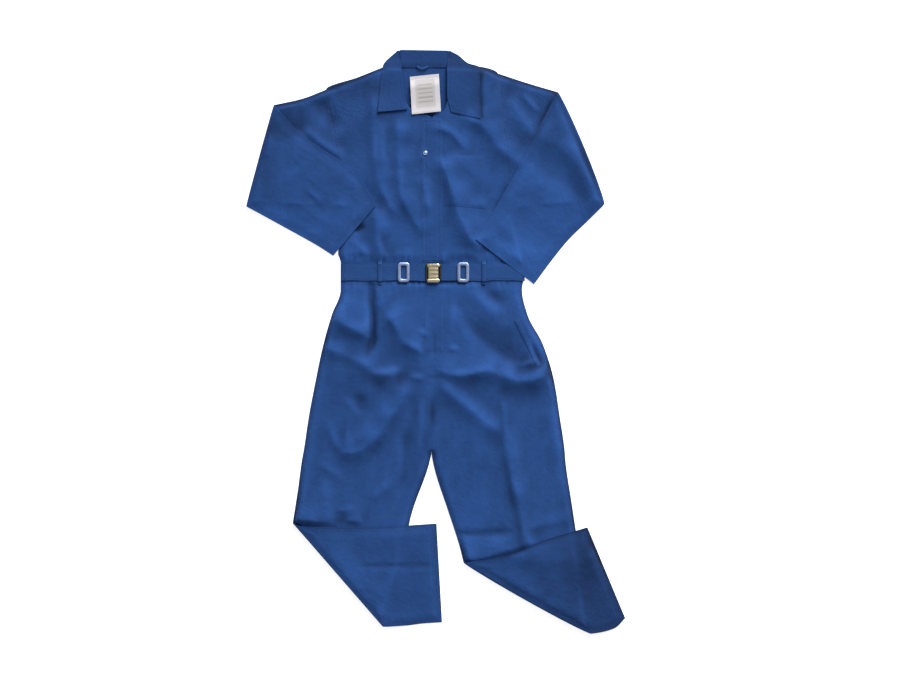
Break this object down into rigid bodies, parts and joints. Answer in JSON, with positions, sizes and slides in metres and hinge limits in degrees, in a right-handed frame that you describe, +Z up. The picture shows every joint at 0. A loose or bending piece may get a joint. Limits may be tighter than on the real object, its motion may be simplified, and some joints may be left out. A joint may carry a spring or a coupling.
{
  "type": "boiler suit laid out flat with folded-over sleeves and legs",
  "caption": "One-piece work suit with collar, front placket, clasped belt, long sleeves and legs, laid flat on its back with each limb folded once over the front.",
  "frame": {"origin": "middle of the laid suit, on the surface it lies on", "axes": "+Y from the legs to the collar, +X to the wearer's left, +Z up out of the surface"},
  "size_m": [1.0238, 1.577, 0.019],
  "materials": {
    "suit_cloth": "royal blue twill, matt, slightly creased",
    "belt_cloth": "the suit's own blue twill, doubled and stitched",
    "label_cloth": "off-white woven tape, matt, blank",
    "bright_steel": "nickel-plated steel, soft gloss",
    "clasp_brass": "pale brass, lightly brushed",
    "dark_brass": "darkened brass"
  },
  "bodies": {
    "root": {"back_bodice": "suit_cloth", "front_bodice_right": "suit_cloth", "front_bodice_left": "suit_cloth", "placket": "suit_cloth", "fly_cover": "suit_cloth", "chest_pocket": "suit_cloth", "side_pocket_facing": "suit_cloth", "sleeve_right": "suit_cloth", "sleeve_left": "suit_cloth", "trouser_front_right": "suit_cloth", "trouser_front_left": "suit_cloth", "trouser_back_right": "suit_cloth", "trouser_back_left": "suit_cloth", "collar_leaf_right": "suit_cloth", "collar_leaf_left": "suit_cloth", "collar_stand": "suit_cloth", "hanger_loop": "suit_cloth", "care_label": "label_cloth", "belt_right": "belt_cloth", "belt_left": "belt_cloth", "belt_return_right": "belt_cloth", "belt_return_left": "belt_cloth", "belt_loop_right": "belt_cloth", "belt_loop_left": "belt_cloth", "slide_right": "bright_steel", "slide_left": "bright_steel", "press_stud": "bright_steel", "clasp_plate": "clasp_brass", "clasp_catch": "dark_brass"}
  },
  "joints": []
}
